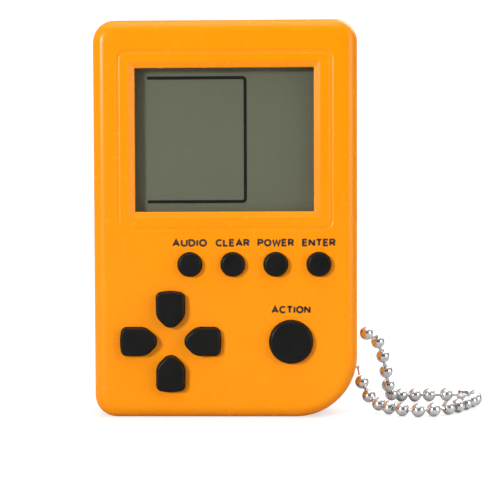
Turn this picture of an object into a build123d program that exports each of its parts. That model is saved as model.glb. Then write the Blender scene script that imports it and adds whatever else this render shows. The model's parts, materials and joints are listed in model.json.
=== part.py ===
"""Handheld LCD game on a ball chain, in millimetres.

The game stands on its lower edge. +Z is up, the front faces -Y and +X is to the right of a
person who looks at the screen. The origin is the middle of the case's lower edge.
"""

from build123d import *
import math
import os

os.makedirs("parts", exist_ok=True)

# ---------------------------------------------------------------- driving dimensions
# Case
CASE_W = 43.2
CASE_H = 65.0
CASE_D = 14.0
CORNER_R = 3.6
BIG_CORNER_R = 10.1  # lower right corner only
EDGE_R = 2.2  # rounding all round the front and back faces
WALL = 1.5
FRONT_Y = -CASE_D / 2
BACK_Y = CASE_D / 2
SPLIT_Y = 0.4  # where the two shells meet
SEAM = 0.15
LIP_T = 0.6
LIP_H = 0.8
LIP_GAP = 0.1

# Screen window
WINDOW_W = 29.2
WINDOW_H = 23.4
WINDOW_X = -0.1
WINDOW_Z = 45.42
BEVEL_W = 1.0
BEVEL_DEPTH = 0.5
GROOVE_W = 34.6  # centre line of the groove round the window
GROOVE_H = 28.8
GROOVE_Z = 45.3
GROOVE_CORNER_R = 1.3
GROOVE_CUTTER_R = 0.7
GROOVE_DEPTH = 0.12

# Direction pad
PAD_X = -8.95
PAD_Z = 12.54
PAD_DISH_R = 9.5
PAD_DISH_DEPTH = 0.4
PAD_KEY_OUT = 8.18
PAD_KEY_TIP = 1.75
PAD_KEY_HALF_W = 2.29
PAD_KEY_CORNER_R = 0.9
PAD_KEY_SHOULDER_R = 2.2
PAD_KEY_NOSE_R = 1.4
PAD_DOME_REACH = 5.3
PAD_ANGLES = {"key_up": 0, "key_left": 90, "key_down": 180, "key_right": 270}

# Round buttons: x, z and radius
SMALL_BUTTON_Z = 25.12
SMALL_BUTTON_R = 1.92
SMALL_BUTTON_PITCH = 7.0
FIRST_BUTTON_X = -5.75
SMALL_BUTTONS = ["button_sound", "button_reset", "button_power", "button_start"]
ROUND_KEYS = {
    name: (FIRST_BUTTON_X + n * SMALL_BUTTON_PITCH, SMALL_BUTTON_Z, SMALL_BUTTON_R)
    for n, name in enumerate(SMALL_BUTTONS)
}
ROUND_KEYS["button_rotate"] = (10.7, 12.49, 3.49)

# Depths of the stack behind the front wall
INNER_FRONT_Y = FRONT_Y + WALL
KEY_PROUD = 1.1
KEY_EDGE_R = 0.45
KEY_GAP = 0.12
KEY_REST_GAP = 0.05
FLANGE_W = 0.5
FLANGE_T = 0.7
FLANGE_BACK_Y = INNER_FRONT_Y + KEY_REST_GAP + FLANGE_T
STEM_R = 1.2
STEM_BACK_Y = -4.3
PILL_R = 1.1
PILL_FRONT_Y = -4.0
PILL_BACK_Y = -3.45
MAT_FRONT_Y = -3.4
PCB_FRONT_Y = -2.6
PCB_BACK_Y = -1.6
PCB_INSET = 2.6
DOME_BASE_R = 2.4
DOME_SKIN = 0.5

# Display
LCD_HALF_W = 16.2
LCD_BOTTOM_Z = 30.6
LCD_TOP_Z = 58.4
LCD_LEDGE_H = 2.7
LENS_FRONT_Y = -5.4
LENS_BACK_Y = -4.6
LENS_OVERLAP = 1.3  # hidden behind the opening, above and below
LCD_FRONT_Y = -4.5
LCD_MID_Y = -3.95
LCD_BACK_Y = -3.4
REFLECTOR_BACK_Y = -3.2
REFLECTOR = (31.0, 34.0, 58.0)  # width, low z, high z
FOAM = (29.0, 35.5, 56.5)
ZEBRA = (29.0, 31.0, 33.0)
FRAME_HALF_W = 17.0
FRAME_BOTTOM_Z = 29.6
FRAME_TOP_Z = 59.0
FRAME_GAP = 0.1

# Screws
SCREW_SPOTS = [(-17.4, 60.9), (17.4, 60.9), (-17.4, 3.9), (13.2, 4.6)]
BOSS_R = 1.7
SCREW_R = 0.68
SCREW_PILOT_R = 0.62
SCREW_CLEAR_R = 0.8
SCREW_HEAD_R = 1.45
SCREW_RECESS_R = 1.6
SCREW_HEAD_BACK_Y = 6.6
SCREW_SEAT_Y = 5.7
SCREW_TIP_Y = -3.6
PCB_SCREW_SPOTS = [(-16.8, 26.5), (16.6, 19.2)]
PCB_BOSS_R = 1.5
PCB_SCREW_R = 0.55
PCB_SCREW_PILOT_R = 0.5
PCB_SCREW_HEAD_R = 1.3
PCB_SCREW_HEAD_T = 0.7

# Battery well, cells and door
WELL_Z = 23.0
WELL_W = 24.8
WELL_H = 12.2
WELL_CORNER_R = 5.9
WELL_WALL = 1.0
WELL_FRONT_Y = -1.0
WELL_FLOOR_Y = -0.2
CELL_R = 5.8
CELL_X = 6.3
CELL_FRONT_Y = 0.15
CELL_BACK_Y = 5.55
LEAF_T = 0.2  # contacts and bridge
LEAF_W = 6.0
TAIL_W = 1.5
DOOR_W = 26.9
DOOR_BOTTOM_Z = 15.35
DOOR_TOP_Z = 34.85
DOOR_T = 1.2
DOOR_GAP = 0.15
DOOR_CORNER_R = 2.0
DOOR_SCREW_Z = 32.4
DOOR_SCREW_SPOT = [(0, DOOR_SCREW_Z)]
DOOR_SCREW_R = 0.7
DOOR_SCREW_HOLE_R = 0.75

# Sounder
SOUNDER_Z = 48.0
SOUNDER_R = 10.0
SOUNDER_FRONT_Y = 4.45
SOUNDER_BACK_Y = 4.7
SOUNDER_SPOT = [(0, SOUNDER_Z)]
CERAMIC_R = 7.0
CERAMIC_FRONT_Y = 4.25
SOUNDER_TAB_X = 3.0
SOUNDER_TAB = (1.2, 0.25)
SOUND_HOLE_R = 0.6
SOUND_HOLE_PITCH_R = 3.0

# Ball chain
BEAD_R = 1.15
LINK_R = 0.25
LINK_ELBOW_R = 0.32
CHAIN_HOLE_R = 0.45
CHAIN_UPPER_Z = 13.4
CHAIN_LOWER_Z = 7.45
CHAIN_BEND = 0.45  # an arc takes this much of the shorter run beside it
COUPLING_L = 2.0
COUPLING_IN_R = 1.2
COUPLING_OUT_R = 1.35
COUPLING_MOUTH = 1.0
CHAIN_ROUTE = [
    (21.75, SPLIT_Y, CHAIN_UPPER_Z),
    (24.2, 0.7, 13.2),
    (25.8, 3.0, 11.3),
    (26.8, 4.5, 8.0),
    (27.4, 5.9, 4.8),
    (28.0, 8.1, 1.8),
    (29.3, 10.4, 1.2),
    (33.2, 10.7, 1.2),
    (38.0, 12.0, 1.5),
    (42.9, 10.1, 1.5),
    (43.0, 6.6, 1.2),
    (41.2, 3.2, 1.2),
    (38.9, -1.4, 1.2),
    (35.4, -4.9, 1.2),
    (31.6, -6.6, 1.2),
    (27.8, -4.6, 1.2),
    (25.4, -1.4, 1.25),
    (23.1, 0.3, 3.2),
    (22.3, 0.35, 6.15),
]
COUPLING_RUN = 8  # index of the route point where the coupling's straight run starts


# ---------------------------------------------------------------- shared outlines
def facing_front(y):
    """A sketch plane at depth y: its x is +X, its y is +Z and it faces -Y."""
    return Plane(origin=(0, y, 0), x_dir=(1, 0, 0), z_dir=(0, -1, 0))


def case_outline(y, inset=0.0):
    """The case from the front, pulled in by inset, with its one large corner."""
    with BuildSketch(facing_front(y)) as outline:
        with Locations((0, CASE_H / 2)):
            Rectangle(CASE_W - 2 * inset, CASE_H - 2 * inset)
        corners = sorted(outline.vertices(), key=lambda v: v.X - v.Y)
        fillet(corners[:3], CORNER_R - inset)
        corners = sorted(outline.vertices(), key=lambda v: v.X - v.Y)
        fillet(corners[-1], BIG_CORNER_R - inset)
    return outline.sketch


def case_ring(y, inset, inner_inset):
    """The band between two of the case's inset outlines."""
    with BuildSketch(facing_front(y)) as band:
        add(case_outline(y, inset))
        add(case_outline(y, inner_inset), mode=Mode.SUBTRACT)
    return band.sketch


def pad_key_outline(y, angle, grow=0.0):
    """A direction key: flat-sided, its outer end on a circle, its nose towards the middle."""
    half = PAD_KEY_HALF_W
    shoulder = PAD_KEY_TIP + half
    centre = Vector(PAD_X, PAD_Z)
    with BuildSketch(facing_front(y)) as outline:
        with Locations(Location((PAD_X, PAD_Z, 0), (0, 0, angle))):
            Polygon(
                (-half, PAD_KEY_OUT),
                (-half, shoulder),
                (0, PAD_KEY_TIP),
                (half, shoulder),
                (half, PAD_KEY_OUT),
                align=None,
            )
            Circle(PAD_KEY_OUT, mode=Mode.INTERSECT)
        by_reach = sorted(outline.vertices(), key=lambda v: (Vector(v) - centre).length)
        fillet(by_reach[3:], PAD_KEY_CORNER_R)
        by_reach = sorted(outline.vertices(), key=lambda v: (Vector(v) - centre).length)
        fillet(by_reach[1:3], PAD_KEY_SHOULDER_R)
        by_reach = sorted(outline.vertices(), key=lambda v: (Vector(v) - centre).length)
        fillet(by_reach[0], PAD_KEY_NOSE_R)
        if grow:
            offset(amount=grow)
    return outline.sketch


def round_key_outline(y, x, z, radius):
    with BuildSketch(facing_front(y)) as outline:
        with Locations((x, z)):
            Circle(radius)
    return outline.sketch


def key_outline(name, y, grow=0.0):
    """The outline of any key, grown by a gap or a flange."""
    if name in PAD_ANGLES:
        return pad_key_outline(y, PAD_ANGLES[name], grow)
    x, z, radius = ROUND_KEYS[name]
    return round_key_outline(y, x, z, radius + grow)


def key_centre(name):
    """Where the key's stem, rubber dome and contact pill stand."""
    if name in PAD_ANGLES:
        angle = math.radians(PAD_ANGLES[name])
        return (
            PAD_X - PAD_DOME_REACH * math.sin(angle),
            PAD_Z + PAD_DOME_REACH * math.cos(angle),
        )
    return ROUND_KEYS[name][:2]


KEY_NAMES = list(PAD_ANGLES) + list(ROUND_KEYS)


def slab(y, thickness, width, low_z, high_z, corner=0.0):
    """A plate centred on x = 0 whose back face is at depth y."""
    with BuildSketch(facing_front(y)) as outline:
        with Locations((0, (low_z + high_z) / 2)):
            if corner:
                RectangleRounded(width, high_z - low_z, corner)
            else:
                Rectangle(width, high_z - low_z)
    return extrude(outline.sketch, amount=thickness, mode=Mode.PRIVATE)


def discs(y, length, spots, radius):
    """Round bars towards the front from depth y, one at each spot."""
    with BuildSketch(facing_front(y)) as outline:
        with Locations(*spots):
            Circle(radius)
    return extrude(outline.sketch, amount=length, mode=Mode.PRIVATE)


def finish(piece, name):
    piece.label = name
    export_step(piece, f"parts/{name}.step")


# ---------------------------------------------------------------- front shell
SHELL_DEPTH = SPLIT_Y - FRONT_Y
DISH_SPHERE_R = (PAD_DISH_R**2 + PAD_DISH_DEPTH**2) / (2 * PAD_DISH_DEPTH)

with BuildPart() as front_shell:
    extrude(case_outline(SPLIT_Y), amount=SHELL_DEPTH)
    fillet(front_shell.faces().sort_by(Axis.Y)[0].edges(), EDGE_R)
    extrude(case_outline(SPLIT_Y, WALL), amount=SHELL_DEPTH - WALL, mode=Mode.SUBTRACT)
    rim = front_shell.faces().sort_by(Axis.Y)[-1]
    chamfer(rim.outer_wire().edges(), SEAM)

    # Screen window: a mitred bevel down to a straight-sided opening
    with BuildSketch(facing_front(FRONT_Y)):
        with Locations((WINDOW_X, WINDOW_Z)):
            Rectangle(WINDOW_W + 2 * BEVEL_W, WINDOW_H + 2 * BEVEL_W)
    with BuildSketch(facing_front(FRONT_Y + BEVEL_DEPTH)):
        with Locations((WINDOW_X, WINDOW_Z)):
            Rectangle(WINDOW_W, WINDOW_H)
    loft(mode=Mode.SUBTRACT)
    with BuildSketch(facing_front(INNER_FRONT_Y)):
        with Locations((WINDOW_X, WINDOW_Z)):
            Rectangle(WINDOW_W, WINDOW_H)
    extrude(amount=WALL, mode=Mode.SUBTRACT)

    # Shallow round-bottomed groove round the window
    cutter_y = FRONT_Y - (GROOVE_CUTTER_R - GROOVE_DEPTH)
    with BuildSketch(facing_front(cutter_y), mode=Mode.PRIVATE) as groove_path:
        with Locations((0, GROOVE_Z)):
            RectangleRounded(GROOVE_W, GROOVE_H, GROOVE_CORNER_R)
    groove_wire = groove_path.sketch.faces()[0].outer_wire()
    start = groove_wire @ 0
    with BuildSketch(Plane(origin=start, z_dir=groove_wire % 0)):
        Circle(GROOVE_CUTTER_R)
    sweep(path=groove_wire, mode=Mode.SUBTRACT)

    # Shallow dish under the direction keys
    with Locations((PAD_X, FRONT_Y + PAD_DISH_DEPTH - DISH_SPHERE_R, PAD_Z)):
        Sphere(DISH_SPHERE_R, mode=Mode.SUBTRACT)

    # Bosses for the case screws and for the circuit board's screws
    add(discs(SPLIT_Y - LIP_GAP, SPLIT_Y - LIP_GAP - INNER_FRONT_Y, SCREW_SPOTS, BOSS_R))
    add(discs(PCB_FRONT_Y, PCB_FRONT_Y - INNER_FRONT_Y, PCB_SCREW_SPOTS, PCB_BOSS_R))
    pilots = discs(SPLIT_Y, SPLIT_Y - SCREW_TIP_Y + 0.6, SCREW_SPOTS, SCREW_PILOT_R)
    add(pilots, mode=Mode.SUBTRACT)
    add(discs(PCB_FRONT_Y, 2.4, PCB_SCREW_SPOTS, PCB_SCREW_PILOT_R), mode=Mode.SUBTRACT)

    for key in KEY_NAMES:
        extrude(key_outline(key, INNER_FRONT_Y, KEY_GAP), amount=WALL, mode=Mode.SUBTRACT)

    # Half of each little hole that lets the chain's end links through the side wall
    for z in (CHAIN_UPPER_Z, CHAIN_LOWER_Z):
        with Locations(Location((CASE_W / 2, SPLIT_Y, z), (0, 90, 0))):
            Cylinder(CHAIN_HOLE_R, 6, mode=Mode.SUBTRACT)

finish(front_shell.part, "front_shell")

# ---------------------------------------------------------------- back shell
INNER_BACK_Y = BACK_Y - WALL
DOOR_PAD_FRONT_Y = INNER_BACK_Y - 0.9
DOOR_PAD_MARGIN = 1.2
DOOR_SEAT_Y = BACK_Y - DOOR_T
ROOT_Y = INNER_BACK_Y + 0.2  # what stands on the back wall starts just inside it
LIP_RELIEF_LOW = 4.5
LIP_RELIEF_HIGH = 16.5
PCB_POSTS = [(-16.5, 36.0), (16.5, 36.0), (-16.0, 11.0), (15.2, 14.5)]
PCB_POST_R = 1.1
RING_WALL = 0.9
DOOR_SCREW_BOSS_R = 1.8
TAIL_INSET = 1.0  # from the well's top to the contacts' tails

with BuildPart() as back_shell:
    extrude(case_outline(BACK_Y), amount=BACK_Y - SPLIT_Y)
    fillet(back_shell.faces().sort_by(Axis.Y)[-1].edges(), EDGE_R)
    extrude(case_outline(INNER_BACK_Y, WALL), amount=INNER_BACK_Y - SPLIT_Y, mode=Mode.SUBTRACT)
    rim = back_shell.faces().sort_by(Axis.Y)[0]
    chamfer(rim.outer_wire().edges(), SEAM)

    # Bosses, posts that back the circuit board, sounder ring, battery well and door pad
    add(discs(ROOT_Y, ROOT_Y - SPLIT_Y, SCREW_SPOTS, BOSS_R))
    add(discs(ROOT_Y, ROOT_Y - PCB_BACK_Y, PCB_POSTS, PCB_POST_R))
    add(discs(ROOT_Y, ROOT_Y - SOUNDER_FRONT_Y, SOUNDER_SPOT, SOUNDER_R + RING_WALL))
    ring_bore = discs(INNER_BACK_Y, INNER_BACK_Y - SOUNDER_FRONT_Y, SOUNDER_SPOT, SOUNDER_R - 1.0)
    add(ring_bore, mode=Mode.SUBTRACT)
    ring_step = discs(SOUNDER_BACK_Y, 1.0, SOUNDER_SPOT, SOUNDER_R + 0.1)
    add(ring_step, mode=Mode.SUBTRACT)
    well_low = WELL_Z - WELL_H / 2
    well_high = WELL_Z + WELL_H / 2
    pad_low = DOOR_BOTTOM_Z - DOOR_PAD_MARGIN
    pad_high = DOOR_TOP_Z + DOOR_PAD_MARGIN
    pad_t = ROOT_Y - DOOR_PAD_FRONT_Y
    add(slab(ROOT_Y, pad_t, DOOR_W + 2 * DOOR_PAD_MARGIN, pad_low, pad_high, DOOR_CORNER_R))
    outer_low = well_low - WELL_WALL
    outer_high = well_high + WELL_WALL
    outer_w = WELL_W + 2 * WELL_WALL
    outer_corner = WELL_CORNER_R + WELL_WALL
    outer_t = ROOT_Y - WELL_FRONT_Y
    add(slab(ROOT_Y, outer_t, outer_w, outer_low, outer_high, outer_corner))
    add(discs(INNER_BACK_Y, INNER_BACK_Y - 0.6, DOOR_SCREW_SPOT, DOOR_SCREW_BOSS_R))
    well_t = BACK_Y - WELL_FLOOR_Y
    well = slab(BACK_Y, well_t, WELL_W, well_low, well_high, WELL_CORNER_R)
    add(well, mode=Mode.SUBTRACT)
    recess_w = DOOR_W + 2 * DOOR_GAP
    recess_low = DOOR_BOTTOM_Z - DOOR_GAP
    recess_high = DOOR_TOP_Z + DOOR_GAP
    recess = slab(BACK_Y, DOOR_T, recess_w, recess_low, recess_high, DOOR_CORNER_R)
    add(recess, mode=Mode.SUBTRACT)
    door_hole = discs(BACK_Y, BACK_Y - 1.0, DOOR_SCREW_SPOT, DOOR_SCREW_HOLE_R)
    add(door_hole, mode=Mode.SUBTRACT)

    # Slots in the well's floor for the battery contacts' tails
    with BuildSketch(facing_front(WELL_FLOOR_Y)):
        with Locations((-CELL_X, well_high - TAIL_INSET), (CELL_X, well_high - TAIL_INSET)):
            Rectangle(TAIL_W + 0.3, LEAF_T + 0.3)
    extrude(amount=2.0, mode=Mode.SUBTRACT)

    # Case screw holes, sound holes and the other half of the chain's holes
    add(discs(BACK_Y, BACK_Y - SPLIT_Y, SCREW_SPOTS, SCREW_CLEAR_R), mode=Mode.SUBTRACT)
    add(discs(BACK_Y, BACK_Y - SCREW_SEAT_Y, SCREW_SPOTS, SCREW_RECESS_R), mode=Mode.SUBTRACT)
    with BuildSketch(facing_front(BACK_Y)):
        with Locations((0, SOUNDER_Z)):
            Circle(SOUND_HOLE_R)
            with PolarLocations(SOUND_HOLE_PITCH_R, 6):
                Circle(SOUND_HOLE_R)
    extrude(amount=WALL, mode=Mode.SUBTRACT)
    for z in (CHAIN_UPPER_Z, CHAIN_LOWER_Z):
        with Locations(Location((CASE_W / 2, SPLIT_Y, z), (0, 90, 0))):
            Cylinder(CHAIN_HOLE_R, 6, mode=Mode.SUBTRACT)

    # Lip that locates the front shell, with room cut for the chain's end beads
    lip_inner = WALL + LIP_GAP + LIP_T
    root = extrude(case_ring(SPLIT_Y + LIP_H, WALL - 0.1, lip_inner), amount=LIP_H, mode=Mode.PRIVATE)
    lip = extrude(case_ring(SPLIT_Y, WALL + LIP_GAP, lip_inner), amount=LIP_H, mode=Mode.PRIVATE)
    relief_h = LIP_RELIEF_HIGH - LIP_RELIEF_LOW
    with Locations((CASE_W / 2, SPLIT_Y, LIP_RELIEF_LOW + relief_h / 2)):
        relief = Box(8, 4, relief_h, mode=Mode.PRIVATE)
    add(root - relief)
    add(lip - relief)

finish(back_shell.part, "back_shell")

# ---------------------------------------------------------------- display stack
lens_low = WINDOW_Z - WINDOW_H / 2 - LENS_OVERLAP
lens_high = WINDOW_Z + WINDOW_H / 2 + LENS_OVERLAP
with BuildPart() as window_lens:
    add(slab(LENS_BACK_Y, LENS_BACK_Y - LENS_FRONT_Y, 2 * LCD_HALF_W, lens_low, lens_high))
finish(window_lens.part, "window_lens")

with BuildPart() as lcd_panel:
    front_t = LCD_MID_Y - LCD_FRONT_Y
    rear_t = LCD_BACK_Y - LCD_MID_Y
    add(slab(LCD_MID_Y, front_t, 2 * LCD_HALF_W, LCD_BOTTOM_Z, LCD_TOP_Z))
    add(slab(LCD_BACK_Y, rear_t, 2 * LCD_HALF_W, LCD_BOTTOM_Z + LCD_LEDGE_H, LCD_TOP_Z))
finish(lcd_panel.part, "lcd_panel")

with BuildPart() as lcd_reflector:
    add(slab(REFLECTOR_BACK_Y, REFLECTOR_BACK_Y - LCD_BACK_Y, *REFLECTOR))
finish(lcd_reflector.part, "lcd_reflector")

with BuildPart() as foam_pad:
    add(slab(PCB_FRONT_Y, PCB_FRONT_Y - REFLECTOR_BACK_Y, *FOAM))
finish(foam_pad.part, "foam_pad")

with BuildPart() as zebra_strip:
    add(slab(PCB_FRONT_Y, PCB_FRONT_Y - LCD_MID_Y, *ZEBRA))
finish(zebra_strip.part, "zebra_strip")

with BuildPart() as lcd_frame:
    frame_t = PCB_FRONT_Y - INNER_FRONT_Y
    add(slab(PCB_FRONT_Y, frame_t, 2 * FRAME_HALF_W, FRAME_BOTTOM_Z, FRAME_TOP_Z, 0.4))
    hole_w = 2 * (LCD_HALF_W + FRAME_GAP)
    hole_low = LCD_BOTTOM_Z - FRAME_GAP
    hole_high = LCD_TOP_Z + FRAME_GAP
    add(slab(PCB_FRONT_Y, frame_t, hole_w, hole_low, hole_high), mode=Mode.SUBTRACT)
finish(lcd_frame.part, "lcd_frame")

# ---------------------------------------------------------------- circuit board and its parts
CHIP_SPOT = (-8.0, 44.0)
CAPACITOR_SPOT = (6.0, 39.0)
CAPACITOR_R = 1.9
CAPACITOR_L = 5.5
RESISTOR_SPOTS = [(8.0, 56.5), (10.6, 56.5), (13.2, 56.5)]
RESISTOR_T = 0.5

with BuildPart() as circuit_board:
    extrude(case_outline(PCB_BACK_Y, PCB_INSET), amount=PCB_BACK_Y - PCB_FRONT_Y)
    add(discs(PCB_BACK_Y, 1.0, SCREW_SPOTS, BOSS_R + 0.25), mode=Mode.SUBTRACT)
    add(discs(PCB_BACK_Y, 1.0, PCB_SCREW_SPOTS, PCB_SCREW_R + 0.1), mode=Mode.SUBTRACT)
finish(circuit_board.part, "circuit_board")

with BuildPart() as chip_blob:
    blob_r = 5.0
    blob_h = 1.2
    blob_sphere_r = (blob_r**2 + blob_h**2) / (2 * blob_h)
    blob_foot = (CHIP_SPOT[0], PCB_BACK_Y, CHIP_SPOT[1])
    with BuildSketch(Plane(origin=blob_foot, x_dir=(1, 0, 0), z_dir=(0, 0, 1))):
        with Locations((0, blob_h - blob_sphere_r)):
            Circle(blob_sphere_r)
        with Locations((0, blob_sphere_r)):
            Rectangle(2 * blob_sphere_r, 2 * blob_sphere_r, mode=Mode.INTERSECT)
        with Locations((blob_sphere_r, 0)):
            Rectangle(2 * blob_sphere_r, 4 * blob_sphere_r, mode=Mode.INTERSECT)
    revolve(axis=Axis(blob_foot, (0, 1, 0)))
finish(chip_blob.part, "chip_blob")

with BuildPart() as capacitor:
    can_start = (CAPACITOR_SPOT[0], PCB_BACK_Y + CAPACITOR_R + 0.05, CAPACITOR_SPOT[1])
    with BuildSketch(Plane(origin=can_start, z_dir=(1, 0, 0))):
        Circle(CAPACITOR_R)
    extrude(amount=CAPACITOR_L)
    fillet(capacitor.faces().sort_by(Axis.X)[-1].edges(), 0.4)
finish(capacitor.part, "capacitor")

with BuildPart() as chip_resistors:
    with BuildSketch(facing_front(PCB_BACK_Y + RESISTOR_T)):
        with Locations(*RESISTOR_SPOTS):
            Rectangle(1.2, 2.0)
    extrude(amount=RESISTOR_T)
finish(chip_resistors.part, "chip_resistors")

with BuildPart() as pcb_screws:
    add(discs(PCB_BACK_Y, 3.2, PCB_SCREW_SPOTS, PCB_SCREW_R))
    add(discs(PCB_BACK_Y + PCB_SCREW_HEAD_T, PCB_SCREW_HEAD_T, PCB_SCREW_SPOTS, PCB_SCREW_HEAD_R))
    with BuildSketch(facing_front(PCB_BACK_Y + PCB_SCREW_HEAD_T)):
        with Locations(*PCB_SCREW_SPOTS):
            Rectangle(1.8, 0.35)
            Rectangle(0.35, 1.8)
    extrude(amount=PCB_SCREW_HEAD_T / 2, mode=Mode.SUBTRACT)
finish(pcb_screws.part, "pcb_screws")

# ---------------------------------------------------------------- keypad
with BuildPart() as keypad_mat:
    extrude(case_outline(PCB_FRONT_Y, PCB_INSET), amount=PCB_FRONT_Y - MAT_FRONT_Y)
    with Locations((0, MAT_FRONT_Y, FRAME_BOTTOM_Z - 0.4)):
        Box(60, 4, 60, align=(Align.CENTER, Align.CENTER, Align.MIN), mode=Mode.SUBTRACT)
    add(discs(PCB_FRONT_Y, 1.0, SCREW_SPOTS, BOSS_R + 0.25), mode=Mode.SUBTRACT)
    add(discs(PCB_FRONT_Y, 1.0, PCB_SCREW_SPOTS, PCB_BOSS_R + 0.25), mode=Mode.SUBTRACT)
    dome_spots = [key_centre(key) for key in KEY_NAMES]
    add(discs(PCB_FRONT_Y, 1.0, dome_spots, DOME_BASE_R), mode=Mode.SUBTRACT)
finish(keypad_mat.part, "keypad_mat")


def make_key(name):
    """Cap, flange that stops it inside the front wall, and stem."""
    x, z = key_centre(name)
    with BuildPart() as key:
        front_y = FRONT_Y - KEY_PROUD
        extrude(key_outline(name, FLANGE_BACK_Y), amount=FLANGE_BACK_Y - front_y)
        fillet(key.faces().sort_by(Axis.Y)[0].edges(), KEY_EDGE_R)
        extrude(key_outline(name, FLANGE_BACK_Y, FLANGE_W), amount=FLANGE_T)
        add(discs(STEM_BACK_Y, STEM_BACK_Y - FLANGE_BACK_Y, [(x, z)], STEM_R))
    finish(key.part, name)


def make_dome(name, suffix):
    """Rubber dome that carries the pill and returns the key."""
    x, z = key_centre(name)
    top_r = STEM_R + 0.3
    skin = DOME_SKIN
    with BuildPart() as dome:
        with BuildSketch(Plane(origin=(x, 0, z), x_dir=(1, 0, 0), z_dir=(0, 0, 1))):
            Polygon(
                (DOME_BASE_R - skin, PCB_FRONT_Y),
                (DOME_BASE_R, PCB_FRONT_Y),
                (DOME_BASE_R, MAT_FRONT_Y),
                (top_r, STEM_BACK_Y),
                (0, STEM_BACK_Y),
                (0, PILL_FRONT_Y),
                (top_r - 0.2, PILL_FRONT_Y),
                (DOME_BASE_R - skin, MAT_FRONT_Y + 0.1),
                align=None,
            )
        revolve(axis=Axis((x, 0, z), (0, -1, 0)))
    finish(dome.part, "dome_" + suffix)


def make_pill(name, suffix):
    """Conductive pill that closes the contact on the circuit board."""
    with BuildPart() as pill:
        add(discs(PILL_BACK_Y, PILL_BACK_Y - PILL_FRONT_Y, [key_centre(name)], PILL_R))
    finish(pill.part, "pill_" + suffix)


for key_name in KEY_NAMES:
    key_suffix = key_name.split("_")[1]
    make_key(key_name)
    make_dome(key_name, key_suffix)
    make_pill(key_name, key_suffix)

# ---------------------------------------------------------------- power
for side, cell_x in (("left", -CELL_X), ("right", CELL_X)):
    with BuildPart() as cell:
        add(discs(CELL_BACK_Y, CELL_BACK_Y - CELL_FRONT_Y, [(cell_x, WELL_Z)], CELL_R))
        fillet(cell.edges().filter_by(GeomType.CIRCLE), 0.4)
    finish(cell.part, "cell_" + side)

    with BuildPart() as contact:
        leaf_y = WELL_FLOOR_Y + LEAF_T
        with BuildSketch(facing_front(leaf_y)):
            with Locations((cell_x, WELL_Z + 0.8)):
                Rectangle(LEAF_W, WELL_H - 3.4)
        extrude(amount=LEAF_T)
        add(discs(CELL_FRONT_Y, CELL_FRONT_Y - leaf_y, [(cell_x, WELL_Z)], 1.8))
        with BuildSketch(facing_front(leaf_y)):
            with Locations((cell_x, well_high - TAIL_INSET)):
                Rectangle(TAIL_W, LEAF_T)
        extrude(amount=leaf_y - PCB_BACK_Y)
    finish(contact.part, "battery_contact_" + side)

with BuildPart() as battery_bridge:
    with BuildSketch(facing_front(DOOR_SEAT_Y)):
        with Locations((0, WELL_Z)):
            RectangleRounded(18.0, LEAF_W, 1.0)
    extrude(amount=LEAF_T)
finish(battery_bridge.part, "battery_bridge")

with BuildPart() as battery_door:
    add(slab(BACK_Y, DOOR_T, DOOR_W, DOOR_BOTTOM_Z, DOOR_TOP_Z, DOOR_CORNER_R - DOOR_GAP))
    fillet(battery_door.faces().sort_by(Axis.Y)[-1].edges(), 0.25)
    with BuildSketch(facing_front(DOOR_SEAT_Y)):
        with Locations((0, well_low + 0.8), (0, well_high - 0.8)):
            Rectangle(3.0, 0.8)
    extrude(amount=1.2)
    for n in range(4):
        with Locations((0, BACK_Y, DOOR_BOTTOM_Z + 2.0 + 1.1 * n)):
            Box(9.0, 0.5, 0.45, mode=Mode.SUBTRACT)
    add(discs(BACK_Y, DOOR_T, DOOR_SCREW_SPOT, SCREW_CLEAR_R), mode=Mode.SUBTRACT)
    add(discs(BACK_Y, 0.8, DOOR_SCREW_SPOT, SCREW_RECESS_R), mode=Mode.SUBTRACT)
finish(battery_door.part, "battery_door")


def cross_head_screw(spots, head_back_y, seat_y, tip_y, shaft_r):
    """Pan head with a cross recess on a plain shaft that stands for the thread."""
    with BuildPart() as screw:
        add(discs(seat_y, seat_y - tip_y, spots, shaft_r))
        add(discs(head_back_y, head_back_y - seat_y, spots, SCREW_HEAD_R))
        fillet(screw.faces().group_by(Axis.Y)[-1].edges(), 0.25)
        with BuildSketch(facing_front(head_back_y)):
            with Locations(*spots):
                Rectangle(1.9, 0.4)
                Rectangle(0.4, 1.9)
        extrude(amount=0.5, mode=Mode.SUBTRACT)
    return screw.part


door_screw = cross_head_screw(DOOR_SCREW_SPOT, 6.9, DOOR_SEAT_Y + 0.4, 1.4, DOOR_SCREW_R)
finish(door_screw, "door_screw")
case_screws = cross_head_screw(
    SCREW_SPOTS, SCREW_HEAD_BACK_Y, SCREW_SEAT_Y, SCREW_TIP_Y, SCREW_R
)
finish(case_screws, "case_screws")

# ---------------------------------------------------------------- sounder
with BuildPart() as sounder_disc:
    add(discs(SOUNDER_BACK_Y, SOUNDER_BACK_Y - SOUNDER_FRONT_Y, SOUNDER_SPOT, SOUNDER_R))
finish(sounder_disc.part, "sounder_disc")

with BuildPart() as sounder_ceramic:
    add(discs(SOUNDER_FRONT_Y, SOUNDER_FRONT_Y - CERAMIC_FRONT_Y, SOUNDER_SPOT, CERAMIC_R))
finish(sounder_ceramic.part, "sounder_ceramic")

with BuildPart() as sounder_contacts:
    with BuildSketch(facing_front(CERAMIC_FRONT_Y)):
        with Locations((SOUNDER_TAB_X, SOUNDER_Z + 3.0)):
            Rectangle(*SOUNDER_TAB)
    extrude(amount=CERAMIC_FRONT_Y - PCB_BACK_Y)
    with BuildSketch(facing_front(SOUNDER_FRONT_Y)):
        with Locations((SOUNDER_TAB_X, SOUNDER_Z + 8.5)):
            Rectangle(*SOUNDER_TAB)
    extrude(amount=SOUNDER_FRONT_Y - PCB_BACK_Y)
finish(sounder_contacts.part, "sounder_contacts")


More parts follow.
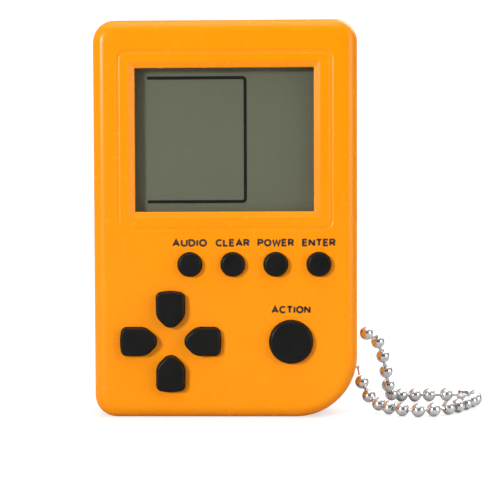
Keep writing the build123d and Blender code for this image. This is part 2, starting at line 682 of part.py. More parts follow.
# ---------------------------------------------------------------- ball chain
def bend_radii(route, share):
    """The largest arc that each corner's two runs allow."""
    radii = []
    for before, corner, after in zip(route, route[1:], route[2:]):
        run_in = Vector(corner) - Vector(before)
        run_out = Vector(after) - Vector(corner)
        turn = math.radians(run_in.get_angle(run_out))
        shorter = min(run_in.length, run_out.length)
        radii.append(share * shorter / math.tan(turn / 2))
    return radii


chain_radii = bend_radii(CHAIN_ROUTE, CHAIN_BEND)
print("chain bend radii:", [round(r, 1) for r in chain_radii])

with BuildPart() as ball_chain:
    with BuildLine() as chain_line:
        FilletPolyline(*CHAIN_ROUTE, radius=chain_radii)
    with BuildSketch(Plane(origin=chain_line.wire() @ 0, z_dir=chain_line.wire() % 0)):
        Circle(BEAD_R)
    sweep(path=chain_line.wire())
finish(ball_chain.part, "ball_chain")
chain_volume = math.pi * BEAD_R**2 * chain_line.wire().length
print("chain length:", round(chain_line.wire().length, 2))
print("chain volume / section x length:", round(ball_chain.part.volume / chain_volume, 4))

run_start = Vector(CHAIN_ROUTE[COUPLING_RUN])
run_end = Vector(CHAIN_ROUTE[COUPLING_RUN + 1])
run_dir = (run_end - run_start).normalized()
coupling_start = (run_start + run_end) / 2 - run_dir * (COUPLING_L / 2)
with BuildPart() as chain_coupling:
    with BuildSketch(Plane(origin=coupling_start, x_dir=(0, 0, 1), z_dir=run_dir)):
        Circle(COUPLING_OUT_R)
        Circle(COUPLING_IN_R, mode=Mode.SUBTRACT)
        with Locations((0, -COUPLING_OUT_R)):
            Rectangle(COUPLING_MOUTH, COUPLING_OUT_R, mode=Mode.SUBTRACT)
    extrude(amount=COUPLING_L)
finish(chain_coupling.part, "chain_coupling")


def chain_end(name, bead_x, wire_points):
    """The chain's last bead, held behind the wall, and the link that leads out to the chain."""
    z = wire_points[0][2]
    with BuildPart() as end:
        for start, stop in zip(wire_points, wire_points[1:]):
            run = Vector(stop) - Vector(start)
            with BuildSketch(Plane(origin=start, z_dir=run.normalized())):
                Circle(LINK_R)
            extrude(amount=run.length)
        # The spheres are turned so that no run of wire leaves through a pole or a seam
        for elbow in wire_points[1:-1]:
            with Locations(Location(elbow, (90, 0, 0))):
                Sphere(LINK_ELBOW_R)
        with Locations(Location((bead_x, SPLIT_Y, z), (0, 0, 180))):
            Sphere(BEAD_R)
    finish(end.part, name)


chain_end(
    "chain_end_upper",
    18.8,
    [(19.6, SPLIT_Y, CHAIN_UPPER_Z), CHAIN_ROUTE[0]],
)
chain_end(
    "chain_end_lower",
    18.3,
    [(19.1, SPLIT_Y, CHAIN_LOWER_Z), (22.1, SPLIT_Y, CHAIN_LOWER_Z), CHAIN_ROUTE[-1]],
)
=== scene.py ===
"""A pocket LCD game with a ball chain, on a pale floor.

Everything is in metres, in the CAD frame: +Z up, +Y to the back, the screen facing -Y.
"""

import json
import math

import bmesh
import bpy
from mathutils import Matrix, Vector


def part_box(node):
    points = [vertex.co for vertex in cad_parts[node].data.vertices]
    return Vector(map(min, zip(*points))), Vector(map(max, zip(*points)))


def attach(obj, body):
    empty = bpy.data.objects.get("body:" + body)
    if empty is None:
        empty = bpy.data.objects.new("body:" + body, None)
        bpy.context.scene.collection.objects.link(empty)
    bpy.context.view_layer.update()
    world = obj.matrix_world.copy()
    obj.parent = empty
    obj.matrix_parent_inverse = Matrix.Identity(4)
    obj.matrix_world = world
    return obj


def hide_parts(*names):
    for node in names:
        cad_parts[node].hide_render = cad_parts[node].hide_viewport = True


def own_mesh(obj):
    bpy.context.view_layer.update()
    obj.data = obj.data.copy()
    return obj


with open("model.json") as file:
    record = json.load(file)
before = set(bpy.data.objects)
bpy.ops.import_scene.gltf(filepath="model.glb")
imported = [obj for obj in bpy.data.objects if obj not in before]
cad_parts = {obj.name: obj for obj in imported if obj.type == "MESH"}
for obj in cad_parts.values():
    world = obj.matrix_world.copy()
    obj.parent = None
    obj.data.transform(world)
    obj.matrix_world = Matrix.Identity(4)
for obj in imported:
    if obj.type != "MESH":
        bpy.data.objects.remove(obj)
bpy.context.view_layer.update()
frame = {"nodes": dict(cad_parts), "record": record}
nodes = frame["nodes"]
MM = 0.001

# ---------------------------------------------------------------- places taken from the frame
case_low, case_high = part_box("front_shell")
FRONT_Y = case_low[1]
CASE_H = case_high[2]
LCD_FACE_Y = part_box("lcd_panel")[0][1]


def middle(node):
    """The centre of a node's box at rest."""
    low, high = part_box(node)
    return (Vector(low) + Vector(high)) / 2


# ---------------------------------------------------------------- camera
CAMERA_AT = Vector((0.00893, -0.2070, 0.03375))
CAMERA_FORWARD = Vector((-0.02431, 0.99921, -0.03138))
CAMERA_UP = Vector((0.00278, 0.03146, 0.99950))
CAMERA_LENS = 88.7  # mm, as is the sensor's width
CAMERA_SENSOR = 36.0

camera_data = bpy.data.cameras.new("camera")
camera_data.lens = CAMERA_LENS
camera_data.sensor_width = CAMERA_SENSOR
camera_data.clip_start = 10 * MM
camera = bpy.data.objects.new("camera", camera_data)
bpy.context.scene.collection.objects.link(camera)
backward = -CAMERA_FORWARD.normalized()
rightward = CAMERA_UP.cross(backward).normalized()
upward = backward.cross(rightward)
turn = Matrix((rightward, upward, backward)).transposed().to_4x4()
camera.matrix_world = Matrix.Translation(CAMERA_AT) @ turn
bpy.context.scene.camera = camera


# ---------------------------------------------------------------- materials
NOISE_LOW = 0.3
NOISE_HIGH = 0.7


class Shader:
    """A procedural material: a Principled shader and short ways to add nodes to it."""

    def __init__(self, name):
        self.material = bpy.data.materials.new(name)
        self.material.use_nodes = True
        self.tree = self.material.node_tree
        self.main = self.tree.nodes["Principled BSDF"]

    def set(self, socket, value):
        """Gives a socket of the Principled shader a plain value."""
        self.main.inputs[socket].default_value = value

    def node(self, kind, **settings):
        """A new node with its settings."""
        made = self.tree.nodes.new(kind)
        for key, value in settings.items():
            setattr(made, key, value)
        return made

    def link(self, source, target):
        self.tree.links.new(source, target)

    def place(self, stretch):
        """Object coordinates, stretched."""
        coords = self.node("ShaderNodeTexCoord")
        mapping = self.node("ShaderNodeMapping")
        mapping.inputs["Scale"].default_value = stretch
        self.link(coords.outputs["Object"], mapping.inputs["Vector"])
        return mapping.outputs["Vector"]

    def noise(self, scale, detail=3.0, stretch=(1, 1, 1)):
        """Noise with about scale cells to the metre."""
        made = self.node("ShaderNodeTexNoise")
        made.inputs["Scale"].default_value = scale
        made.inputs["Detail"].default_value = detail
        self.link(self.place(stretch), made.inputs["Vector"])
        return made.outputs["Fac"]

    def spread(self, value, low, high):
        """Maps the range that noise mostly keeps to, to low..high."""
        made = self.node("ShaderNodeMapRange")
        made.inputs["From Min"].default_value = NOISE_LOW
        made.inputs["From Max"].default_value = NOISE_HIGH
        made.inputs["To Min"].default_value = low
        made.inputs["To Max"].default_value = high
        self.link(value, made.inputs["Value"])
        return made.outputs["Result"]

    def color_from(self, value, first, second):
        """Base colour from first to second, as value goes from 0 to 1."""
        made = self.node("ShaderNodeMix", data_type="RGBA")
        self.link(value, made.inputs["Factor"])
        made.inputs["A"].default_value = (*first, 1.0)
        made.inputs["B"].default_value = (*second, 1.0)
        self.link(made.outputs["Result"], self.main.inputs["Base Color"])

    def roughness_from(self, value):
        self.link(value, self.main.inputs["Roughness"])

    def bump(self, value, height, strength):
        """Relief from value, height metres deep."""
        made = self.node("ShaderNodeBump")
        made.inputs["Strength"].default_value = strength
        made.inputs["Distance"].default_value = height
        self.link(value, made.inputs["Height"])
        self.link(made.outputs["Normal"], self.main.inputs["Normal"])


def orange_plastic():
    """Glossy moulded ABS: faint flow marks and a fine orange peel."""
    made = Shader("orange_plastic")
    flow = made.spread(made.noise(70, 2.0, (1, 1, 0.5)), 0.0, 1.0)
    made.color_from(flow, (0.93, 0.282, 0.001), (0.95, 0.292, 0.001))
    made.roughness_from(made.spread(made.noise(700, 3.0), 0.24, 0.28))
    made.bump(made.noise(1400, 2.0), 0.000002, 0.12)
    made.set("Specular IOR Level", 0.22)
    made.set("Subsurface Weight", 0.06)
    made.set("Subsurface Radius", (0.0012, 0.0005, 0.0002))
    made.set("Subsurface Scale", 1.0)
    return made.material


def black_plastic():
    """Satin key caps with the finger polish that use gives them."""
    made = Shader("black_plastic")
    polish = made.spread(made.noise(420, 3.0), 0.0, 1.0)
    made.color_from(polish, (0.0050, 0.0050, 0.0048), (0.0085, 0.0084, 0.0080))
    made.roughness_from(made.spread(made.noise(1500, 4.0), 0.30, 0.42))
    made.bump(made.noise(5200, 2.0), 0.000006, 0.35)
    made.set("Specular IOR Level", 0.14)
    return made.material


def clear_window():
    """A thin hard-coated acrylic window: nearly clear, with a soft surface gloss."""
    made = Shader("clear_window")
    made.set("Base Color", (0.02, 0.02, 0.02, 1.0))
    made.set("IOR", 1.49)
    made.set("Alpha", 0.10)
    made.set("Specular IOR Level", 1.0)
    made.roughness_from(made.spread(made.noise(650, 4.0), 0.03, 0.09))
    return made.material


def lcd_glass():
    """Reflective LCD: grey-green, evenly grainy behind its polariser."""
    made = Shader("lcd_glass")
    grain = made.spread(made.noise(2600, 5.0), 0.0, 1.0)
    made.color_from(grain, (0.163, 0.176, 0.119), (0.177, 0.190, 0.131))
    made.set("Specular IOR Level", 0.3)
    made.roughness_from(made.spread(made.noise(300, 2.0), 0.30, 0.40))
    return made.material


def lcd_ink():
    """The near-black of switched-on LCD segments."""
    made = Shader("lcd_ink")
    made.set("Roughness", 0.6)
    grain = made.spread(made.noise(3000, 3.0), 0.0, 1.0)
    made.color_from(grain, (0.003, 0.003, 0.002), (0.006, 0.006, 0.005))
    made.set("Specular IOR Level", 0.2)
    return made.material


def pad_print():
    """Pad-printed legend ink, a little uneven at its edges."""
    made = Shader("pad_print")
    made.set("Roughness", 0.5)
    cover = made.spread(made.noise(9000, 3.0), 0.0, 1.0)
    made.color_from(cover, (0.013, 0.009, 0.006), (0.035, 0.018, 0.007))
    made.bump(made.noise(8000, 2.0), 0.000004, 0.4)
    return made.material


def chrome():
    """Nickel-plated beads and wire: bright, with a fine haze and dull specks."""
    made = Shader("chain_chrome")
    made.set("Metallic", 0.9)
    haze = made.spread(made.noise(2400, 4.0), 0.0, 1.0)
    made.color_from(haze, (0.66, 0.665, 0.675), (0.82, 0.825, 0.83))
    made.roughness_from(made.spread(made.noise(1700, 4.0), 0.14, 0.26))
    made.bump(made.noise(2100, 3.0), 0.000012, 0.35)
    return made.material


def plated(name, color, low, high):
    """Plated metal, drawn or turned: fine lines and a mottled sheen between two roughnesses."""
    made = Shader(name)
    made.set("Metallic", 1.0)
    lines = made.spread(made.noise(900, 4.0, (1, 1, 14)), 0.0, 1.0)
    darker = tuple(c * 0.78 for c in color)
    made.color_from(lines, darker, color)
    made.roughness_from(made.spread(made.noise(1300, 3.0), low, high))
    made.bump(made.noise(1100, 3.0, (1, 1, 12)), 0.000006, 0.4)
    return made.material


def moulded(name, color, low, high, grain=2200, height=0.00001, transmission=0.0):
    """A moulded or coated surface: grain of some height, and a slightly uneven tone."""
    made = Shader(name)
    tone = made.spread(made.noise(grain / 6, 3.0), 0.0, 1.0)
    made.color_from(tone, tuple(c * 0.88 for c in color), tuple(min(1, c * 1.1) for c in color))
    made.roughness_from(made.spread(made.noise(grain, 3.0), low, high))
    made.bump(made.noise(grain, 3.0), height, 0.5)
    made.set("Transmission Weight", transmission)
    return made.material


def lacquered_board():
    """Phenolic board: green lacquer over faintly raised copper traces."""
    made = Shader("board")
    made.set("Roughness", 0.35)
    traces = made.node("ShaderNodeTexBrick")
    traces.inputs["Scale"].default_value = 330
    traces.inputs["Mortar Size"].default_value = 0.014
    traces.inputs["Color1"].default_value = (0, 0, 0, 1)
    traces.inputs["Color2"].default_value = (0.15, 0.15, 0.15, 1)
    traces.inputs["Mortar"].default_value = (1, 1, 1, 1)
    swap = made.node("ShaderNodeMapping")
    swap.inputs["Rotation"].default_value = (math.radians(90), 0, 0)
    coords = made.node("ShaderNodeTexCoord")
    made.link(coords.outputs["Object"], swap.inputs["Vector"])
    made.link(swap.outputs["Vector"], traces.inputs["Vector"])
    made.color_from(traces.outputs["Color"], (0.010, 0.075, 0.018), (0.05, 0.19, 0.045))
    made.bump(traces.outputs["Color"], 0.00003, 0.6)
    return made.material


chain_metal = chrome()
SLOT_MATERIALS = {
    "orange_plastic": orange_plastic(),
    "black_plastic": black_plastic(),
    "clear_window": clear_window(),
    "lcd_glass": lcd_glass(),
    "silver_film": plated("silver_film", (0.62, 0.62, 0.60), 0.35, 0.5),
    "black_foam": moulded("black_foam", (0.02, 0.02, 0.02), 0.85, 1.0, 1400, 0.00015),
    "grey_rubber": moulded("grey_rubber", (0.34, 0.34, 0.35), 0.5, 0.65, 1500, 0.00001, 0.15),
    "carbon_rubber": moulded("carbon_rubber", (0.015, 0.015, 0.015), 0.6, 0.8),
    "white_plastic": moulded("white_plastic", (0.72, 0.72, 0.69), 0.4, 0.55),
    "board": lacquered_board(),
    "black_epoxy": moulded("black_epoxy", (0.012, 0.012, 0.012), 0.2, 0.35, 900, 0.00002),
    "capacitor_can": moulded("capacitor_can", (0.02, 0.03, 0.12), 0.25, 0.4, 1200),
    "resistor_ceramic": moulded("resistor_ceramic", (0.03, 0.03, 0.03), 0.4, 0.6),
    "steel": plated("steel", (0.56, 0.56, 0.57), 0.2, 0.36),
    "cell_can": plated("cell_can", (0.66, 0.66, 0.67), 0.18, 0.3),
    "spring_brass": plated("spring_brass", (0.78, 0.58, 0.27), 0.2, 0.35),
    "ceramic": moulded("ceramic", (0.72, 0.71, 0.67), 0.45, 0.6),
    "chain_chrome": chain_metal,
}
for entry in frame["record"]["subparts"]:
    node = nodes[entry["node"]]
    material = SLOT_MATERIALS[entry["material_slot"]]
    for material_slot in node.material_slots:
        material_slot.material = material


# ---------------------------------------------------------------- rubber domes
# Each dome gets a mesh of its own; its box at rest is read but not used
for name in nodes:
    if name.startswith("dome_"):
        low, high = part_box(name)
        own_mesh(nodes[name])


# ---------------------------------------------------------------- small mesh helpers
def object_from(name, shape, material, smooth=True):
    """Makes the bmesh shape into an object in the scene."""
    mesh = bpy.data.meshes.new(name)
    shape.to_mesh(mesh)
    shape.free()
    mesh.materials.append(material)
    if smooth:
        for face in mesh.polygons:
            face.use_smooth = True
    made = bpy.data.objects.new(name, mesh)
    bpy.context.scene.collection.objects.link(made)
    return made


def add_piece(name, shape, material, smooth=True):
    """Makes the bmesh shape into a piece that rides on the casing."""
    piece = object_from(name, shape, material, smooth)
    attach(piece, "casing")
    return piece


def lathe(shape, profile, origin, direction, steps):
    """Turns a (radius, along) profile round direction at origin, into the bmesh shape."""
    axis = direction.normalized()
    side = axis.orthogonal().normalized()
    across = axis.cross(side)
    rings = []
    for radius, along in profile:
        at = origin + axis * along
        if radius == 0:
            rings.append([shape.verts.new(at)])
            continue
        ring = []
        for n in range(steps):
            angle = 2 * math.pi * n / steps
            outward = side * math.cos(angle) + across * math.sin(angle)
            ring.append(shape.verts.new(at + outward * radius))
        rings.append(ring)
    for first, second in zip(rings, rings[1:]):
        for n in range(steps):
            m = (n + 1) % steps
            corners = []
            for ring, index in ((first, n), (first, m), (second, m), (second, n)):
                vert = ring[index % len(ring)]
                if vert not in corners:
                    corners.append(vert)
            if len(corners) > 2:
                shape.faces.new(corners)


# ---------------------------------------------------------------- ball chain
CHAIN_D = 2.3 * MM
CHAIN_ROUTE = [
    (21.75, 0.4, 13.4),
    (24.2, 0.7, 13.2),
    (25.8, 3.0, 11.3),
    (26.8, 4.5, 8.0),
    (27.4, 5.9, 4.8),
    (28.0, 8.1, 1.8),
    (29.3, 10.4, 1.2),
    (33.2, 10.4, 1.2),
    (38.0, 11.4, 1.2),
    (42.9, 10.0, 1.25),
    (43.0, 6.6, 1.2),
    (41.2, 3.2, 1.2),
    (38.9, -1.4, 1.2),
    (35.4, -4.9, 1.2),
    (31.6, -6.6, 1.2),
    (27.8, -4.6, 1.2),
    (25.4, -1.4, 1.25),
    (23.1, 0.3, 3.2),
    (22.3, 0.35, 6.15),
]
# Where along the line each bead lies, in mm: further apart where the chain hangs, closer on the
# table
UPPER_MARKS = [1.8, 5.1, 8.3, 11.4, 14.5, 17.3, 19.8, 22.2, 24.8, 27.9]
LOWER_MARKS = [33.6, 36.0, 38.4, 41.4, 44.7, 47.5, 50.8, 53.5, 56.2, 58.9, 61.3, 63.7, 66.3]
COUPLING_MARK = 30.8

BEAD_HOLE_R = 0.42 * MM
BEAD_LIP_R = 0.72 * BEAD_HOLE_R  # the rim turned in at each hole
BEAD_LIP_DEPTH = 0.12 * MM
BEAD_RINGS = 18
BEAD_STEPS = 28

LINK_R = 0.31 * MM
LINK_WAIST = 0.92
# The knob at each end of a link: its radius as a share of LINK_R, at a distance from the end
LINK_KNOB = [(1.35, 0.08 * MM), (1.5, 0.30 * MM), (1.0, 0.55 * MM)]
LINK_STEPS = 14

COUPLING_L = 1.9 * MM
COUPLING_R = 0.78 * MM
COUPLING_T = 0.16 * MM
COUPLING_END_R = 0.90 * COUPLING_R
COUPLING_MOUTH = math.radians(75)
COUPLING_MOUTH_AT = math.radians(40)  # the mouth's middle, from straight up
COUPLING_STEPS = 22
# (radius, share of the length): the outer face from end to end, then the inner face back
COUPLING_PROFILE = [
    (COUPLING_END_R, -0.5),
    (COUPLING_R, -0.44),
    (COUPLING_R, 0.44),
    (COUPLING_END_R, 0.5),
    (COUPLING_END_R - COUPLING_T, 0.5),
    (COUPLING_R - COUPLING_T, 0.42),
    (COUPLING_R - COUPLING_T, -0.42),
    (COUPLING_END_R - COUPLING_T, -0.5),
]


def chain_curve():
    """The chain's line as one smooth curve through its route."""
    curve = bpy.data.curves.new("ball_chain_line", "CURVE")
    curve.dimensions = "3D"
    spline = curve.splines.new("NURBS")
    spline.points.add(len(CHAIN_ROUTE) - 1)
    for point, place in zip(spline.points, CHAIN_ROUTE):
        point.co = (*(Vector(place) * MM), 1.0)
    spline.order_u = 3
    spline.use_endpoint_u = True
    spline.resolution_u = 24
    return bpy.data.objects.new("ball_chain_line", curve)


def points_of(curve_object):
    """The points along a curve object's line."""
    bpy.context.scene.collection.objects.link(curve_object)
    bpy.context.view_layer.update()
    line = bpy.data.meshes.new_from_object(curve_object)
    points = [v.co.copy() for v in line.vertices]
    bpy.data.meshes.remove(line)
    return points


class Line:
    """A polyline that can be asked for its point and direction at a distance along it."""

    def __init__(self, points):
        self.points = points
        self.marks = [0.0]
        for a, b in zip(points, points[1:]):
            self.marks.append(self.marks[-1] + (b - a).length)
        self.length = self.marks[-1]

    def at(self, distance):
        """The point at a distance; past the line's ends it carries straight on."""
        for n in range(1, len(self.points)):
            if distance <= self.marks[n] or n == len(self.points) - 1:
                span = self.marks[n] - self.marks[n - 1]
                share = (distance - self.marks[n - 1]) / span
                return self.points[n - 1].lerp(self.points[n], share)

    def along(self, distance):
        """The line's direction at a distance, taken over a short reach on both sides."""
        reach = 0.4 * MM
        return (self.at(distance + reach) - self.at(distance - reach)).normalized()


def hollow_bead(shape, centre, direction):
    """A rolled bead: a ball with a rimmed hole at each pole."""
    radius = CHAIN_D / 2
    rim = math.asin(BEAD_HOLE_R / radius)
    lip_end = radius * math.cos(rim) - BEAD_LIP_DEPTH
    profile = [(BEAD_LIP_R, -lip_end)]
    for n in range(BEAD_RINGS + 1):
        angle = rim + (math.pi - 2 * rim) * n / BEAD_RINGS
        profile.append((radius * math.sin(angle), -radius * math.cos(angle)))
    profile.append((BEAD_LIP_R, lip_end))
    lathe(shape, profile, centre, direction, BEAD_STEPS)


def link_wire(shape, start, stop):
    """The dumb-bell link between two beads, a knob inside each."""
    a = line.at(start)
    b = line.at(stop)
    span = (b - a).length
    profile = [(0, 0)]
    profile += [(LINK_R * share, along) for share, along in LINK_KNOB]
    profile += [(LINK_R * LINK_WAIST, span / 2)]
    profile += [(LINK_R * share, span - along) for share, along in reversed(LINK_KNOB)]
    profile += [(0, span)]
    lathe(shape, profile, a, b - a, LINK_STEPS)


def rolled_clip(shape, centre, direction):
    """The coupling: a strip rolled into an open sleeve round the knobs of the last links."""
    side = direction.cross(Vector((0, 0, 1))).normalized()
    up = side.cross(direction)
    rows = []
    for radius, along in COUPLING_PROFILE:
        row = []
        for n in range(COUPLING_STEPS + 1):
            share = n / COUPLING_STEPS
            angle = COUPLING_MOUTH_AT + COUPLING_MOUTH / 2 + (2 * math.pi - COUPLING_MOUTH) * share
            outward = up * math.cos(angle) + side * math.sin(angle)
            at = centre + direction * along * COUPLING_L + outward * radius
            row.append(shape.verts.new(at))
        rows.append(row)
    for first, second in zip(rows, rows[1:] + rows[:1]):
        for n in range(COUPLING_STEPS):
            shape.faces.new((first[n], first[n + 1], second[n + 1], second[n]))
    shape.faces.new([row[0] for row in reversed(rows)])
    shape.faces.new([row[-1] for row in rows])


chain_line = chain_curve()
line = Line(points_of(chain_line))
bpy.data.objects.remove(chain_line)

strand = bmesh.new()
for mark in UPPER_MARKS + LOWER_MARKS:
    hollow_bead(strand, line.at(mark * MM), line.along(mark * MM))
for marks in (UPPER_MARKS + [COUPLING_MARK], [COUPLING_MARK] + LOWER_MARKS):
    for first, second in zip(marks, marks[1:]):
        link_wire(strand, first * MM, second * MM)
chain_strand = add_piece("chain_strand", strand, chain_metal)
clip = bmesh.new()
rolled_clip(clip, line.at(COUPLING_MARK * MM), line.along(COUPLING_MARK * MM))
bmesh.ops.recalc_face_normals(clip, faces=clip.faces[:])
chain_clip = add_piece("chain_clip", clip, chain_metal)
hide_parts("ball_chain")
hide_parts("chain_coupling")


# ---------------------------------------------------------------- printed legends and LCD picture
PRINT_T = 0.012 * MM
MITRE_LIMIT = 0.5  # a sharp corner's mitre grows to at most 1 / MITRE_LIMIT times half the width


def flat_band(shape, points, width, y):
    """Adds a thin printed stroke through (x, z) points, mitred at its corners, on a plane at y."""
    pairs = []
    for n, point in enumerate(points):
        before = points[max(0, n - 1)]
        after = points[min(len(points) - 1, n + 1)]
        way_in = (point - before).normalized() if n else (after - point).normalized()
        way_out = (after - point).normalized() if n < len(points) - 1 else way_in
        side_in = Vector((-way_in[1], way_in[0]))
        side_out = Vector((-way_out[1], way_out[0]))
        side = (side_in + side_out).normalized()
        reach = width / 2 / max(MITRE_LIMIT, side.dot(side_in))
        pair = []
        for sign in (1, -1):
            at = point + side * reach * sign
            pair.append(shape.verts.new((at[0], y, at[1])))
        pairs.append(pair)
    band = [shape.faces.new((a, b, d, c)) for (a, b), (c, d) in zip(pairs, pairs[1:])]
    extruded = bmesh.ops.extrude_face_region(shape, geom=band)
    moved = [v for v in extruded["geom"] if isinstance(v, bmesh.types.BMVert)]
    bmesh.ops.translate(shape, verts=moved, vec=(0, -PRINT_T, 0))


def printed(name, bands, width, y, material):
    """One printed piece made of several strokes, on a plane at y."""
    shape = bmesh.new()
    for points in bands:
        flat_band(shape, points, width, y)
    bmesh.ops.recalc_face_normals(shape, faces=shape.faces[:])
    add_piece(name, shape, material, smooth=False)


def bow(middle_x, middle_y, reach_x, reach_y, start, stop, steps=8):
    """Points along part of an ellipse, from angle start to stop in degrees."""
    points = []
    for n in range(steps + 1):
        angle = math.radians(start + (stop - start) * n / steps)
        points.append((middle_x + reach_x * math.cos(angle), middle_y + reach_y * math.sin(angle)))
    return points


# Each letter's width and its strokes, for a height of 1
GLYPHS = {
    "A": (0.80, [[(0, 0), (0.40, 1), (0.80, 0)], [(0.14, 0.33), (0.66, 0.33)]]),
    "C": (0.72, [bow(0.42, 0.5, 0.42, 0.5, 45, 315, 10)]),
    "D": (0.70, [[(0, 0), (0, 1)] + bow(0.25, 0.5, 0.45, 0.5, 90, -90) + [(0, 0)]]),
    "E": (0.58, [[(0.58, 1), (0, 1), (0, 0), (0.58, 0)], [(0, 0.52), (0.52, 0.52)]]),
    "I": (0.04, [[(0.02, 0), (0.02, 1)]]),
    "L": (0.54, [[(0, 1), (0, 0), (0.54, 0)]]),
    "N": (0.70, [[(0, 0), (0, 1)], [(0, 1), (0.70, 0)], [(0.70, 0), (0.70, 1)]]),
    "O": (0.84, [bow(0.42, 0.5, 0.42, 0.5, 90, 450, 14)]),
    "P": (0.62, [[(0, 0), (0, 1)] + bow(0.34, 0.73, 0.28, 0.27, 90, -90) + [(0, 0.46)]]),
    "R": (
        0.66,
        [
            [(0, 0), (0, 1)] + bow(0.34, 0.74, 0.28, 0.26, 90, -90) + [(0, 0.48)],
            [(0.32, 0.48), (0.66, 0)],
        ],
    ),
    "T": (0.70, [[(0, 1), (0.70, 1)], [(0.35, 1), (0.35, 0)]]),
    "U": (0.70, [[(0, 1)] + bow(0.35, 0.35, 0.35, 0.35, 180, 360) + [(0.70, 1)]]),
    "W": (1.06, [[(0, 1), (0.26, 0), (0.53, 0.9), (0.80, 0), (1.06, 1)]]),
}
LEGEND_CAP_H = 1.28 * MM
LEGEND_STROKE = 0.33 * MM
LETTER_GAP = 0.34  # between stroke centre lines, in the units of GLYPHS
ROW_LEGEND_Z = 28.65 * MM
ROTATE_LEGEND_Z = 17.75 * MM
# The word over each button, the height of its middle, and its width
LEGENDS = {
    "button_sound": ("AUDIO", ROW_LEGEND_Z, 5.7 * MM),
    "button_reset": ("CLEAR", ROW_LEGEND_Z, 5.6 * MM),
    "button_power": ("POWER", ROW_LEGEND_Z, 6.0 * MM),
    "button_start": ("ENTER", ROW_LEGEND_Z, 5.5 * MM),
    "button_rotate": ("ACTION", ROTATE_LEGEND_Z, 6.4 * MM),
}
legend_ink = pad_print()


def legend(button, word, z, width):
    """A word printed on the front shell over its button."""
    advance = sum(GLYPHS[letter][0] for letter in word) + LETTER_GAP * (len(word) - 1)
    across = (width - LEGEND_STROKE) / advance
    tall = LEGEND_CAP_H - LEGEND_STROKE
    left = middle(button)[0] - advance * across / 2
    bands = []
    for letter in word:
        letter_w, strokes = GLYPHS[letter]
        for stroke in strokes:
            bands.append([Vector((left + x * across, z + (y - 0.5) * tall)) for x, y in stroke])
        left += (letter_w + LETTER_GAP) * across
    printed("legend_" + button, bands, LEGEND_STROKE, FRONT_Y, legend_ink)


for button, (word, z, width) in LEGENDS.items():
    legend(button, word, z, width)

INK_W = 0.52 * MM
INK_LEFT = -12.8 * MM
INK_RIGHT = 3.29 * MM
INK_TOP = 55.65 * MM
INK_BOTTOM = 35.37 * MM
INK_CORNER_R = 0.5 * MM


def rounded_run(corner, way_in, way_out, radius, steps=6):
    """Points round a right-angled corner, between the directions of travel before and after it."""
    centre = corner - way_in * radius + way_out * radius
    points = []
    for n in range(steps + 1):
        angle = math.pi / 2 * n / steps
        from_centre = way_in * math.sin(angle) - way_out * math.cos(angle)
        points.append(centre + from_centre * radius)
    return points


LEFT, RIGHT, DOWN = Vector((-1, 0)), Vector((1, 0)), Vector((0, -1))
field = [Vector((INK_LEFT, INK_TOP))]
field += rounded_run(Vector((INK_RIGHT, INK_TOP)), RIGHT, DOWN, INK_CORNER_R)
field += rounded_run(Vector((INK_RIGHT, INK_BOTTOM)), DOWN, LEFT, INK_CORNER_R)
field += [Vector((INK_LEFT, INK_BOTTOM))]
printed("lcd_field_line", [field], INK_W, LCD_FACE_Y, lcd_ink())

# ---------------------------------------------------------------- floor, light
FLOOR_SIDE = 3.0
FLOOR_BACK_Y = 0.35  # where the floor starts to curve up into the backdrop
FLOOR_COVE_R = 0.25
FLOOR_COVE_STEPS = 8
BACKDROP_H = 1.2
FLOOR_GLOW = 0.62

floor_shader = Shader("floor")
floor_shader.set("Roughness", 0.6)
paper = floor_shader.spread(floor_shader.noise(6), 0.0, 1.0)
floor_shader.color_from(paper, (0.455, 0.455, 0.455), (0.465, 0.465, 0.465))
# The floor is a light table: it glows towards the viewer, but doesn't light the object from below
seen = floor_shader.node("ShaderNodeLightPath")
glow = floor_shader.node("ShaderNodeMath", operation="MULTIPLY")
floor_shader.link(seen.outputs["Is Camera Ray"], glow.inputs[0])
glow.inputs[1].default_value = FLOOR_GLOW
floor_shader.set("Emission Color", (1, 1, 1, 1))
floor_shader.link(glow.outputs["Value"], floor_shader.main.inputs["Emission Strength"])

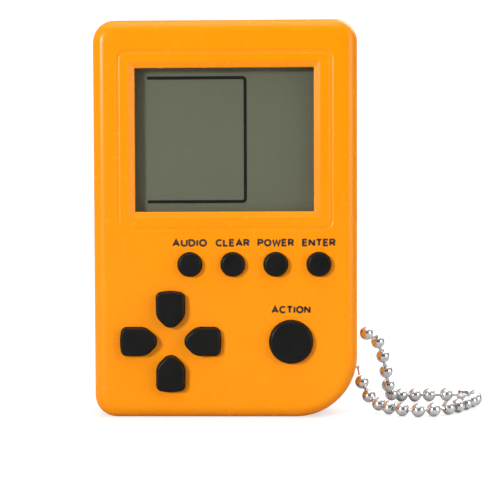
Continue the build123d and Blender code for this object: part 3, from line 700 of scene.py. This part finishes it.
section = [(-FLOOR_SIDE, 0.0), (FLOOR_BACK_Y, 0.0)]
for n in range(1, FLOOR_COVE_STEPS + 1):
    angle = math.pi / 2 * n / FLOOR_COVE_STEPS
    cove_y = FLOOR_BACK_Y + FLOOR_COVE_R * math.sin(angle)
    section.append((cove_y, FLOOR_COVE_R - FLOOR_COVE_R * math.cos(angle)))
section.append((FLOOR_BACK_Y + FLOOR_COVE_R, BACKDROP_H))
floor = bmesh.new()
rows = [[floor.verts.new((x, y, z)) for x in (-FLOOR_SIDE, FLOOR_SIDE)] for y, z in section]
for (a, b), (c, d) in zip(rows, rows[1:]):
    floor.faces.new((a, b, d, c))
object_from("floor", floor, floor_shader.material)


LIT_POINT = Vector((0, 0, CASE_H / 2))


def softbox(name, at, side, power):
    """A square area light that faces the middle of the case."""
    data = bpy.data.lights.new(name, "AREA")
    data.shape = "RECTANGLE"
    data.size = data.size_y = side
    data.energy = power
    light = bpy.data.objects.new(name, data)
    light.location = at
    light.rotation_euler = (LIT_POINT - light.location).to_track_quat("-Z", "Y").to_euler()
    bpy.context.scene.collection.objects.link(light)


softbox("key_light", (-0.60, -0.74, 0.27), 0.18, 7.2)
softbox("fill_light", (0.75, -0.42, 0.15), 0.5, 3.4)
softbox("top_light", (0.0, -0.10, 0.75), 0.6, 2.1)
softbox("back_light", (0.28, 0.30, 0.42), 0.4, 2.2)

# A light tent, white behind and above the object and dark on the viewer's side
world = bpy.data.worlds.new("studio")
world.use_nodes = True
tent = world.node_tree
coords = tent.nodes.new("ShaderNodeTexCoord")
split = tent.nodes.new("ShaderNodeSeparateXYZ")
tent.links.new(coords.outputs["Generated"], split.inputs["Vector"])
brightest = tent.nodes.new("ShaderNodeMath")
brightest.operation = "MAXIMUM"
# Each fade is (axis of the direction, from, to, strength at from, strength at to)
FADES = [("Y", -0.2, 0.5, 0.03, 1.0), ("Z", 0.45, 0.8, 0.03, 0.65)]
for n, (axis, start, stop, low, high) in enumerate(FADES):
    fade = tent.nodes.new("ShaderNodeMapRange")
    fade.inputs["From Min"].default_value = start
    fade.inputs["From Max"].default_value = stop
    fade.inputs["To Min"].default_value = low
    fade.inputs["To Max"].default_value = high
    tent.links.new(split.outputs[axis], fade.inputs["Value"])
    tent.links.new(fade.outputs["Result"], brightest.inputs[n])
tent.links.new(brightest.outputs["Value"], tent.nodes["Background"].inputs["Strength"])
tent.nodes["Background"].inputs["Color"].default_value = (1, 1, 1, 1)
bpy.context.scene.world = world
bpy.context.scene.view_settings.view_transform = "Standard"
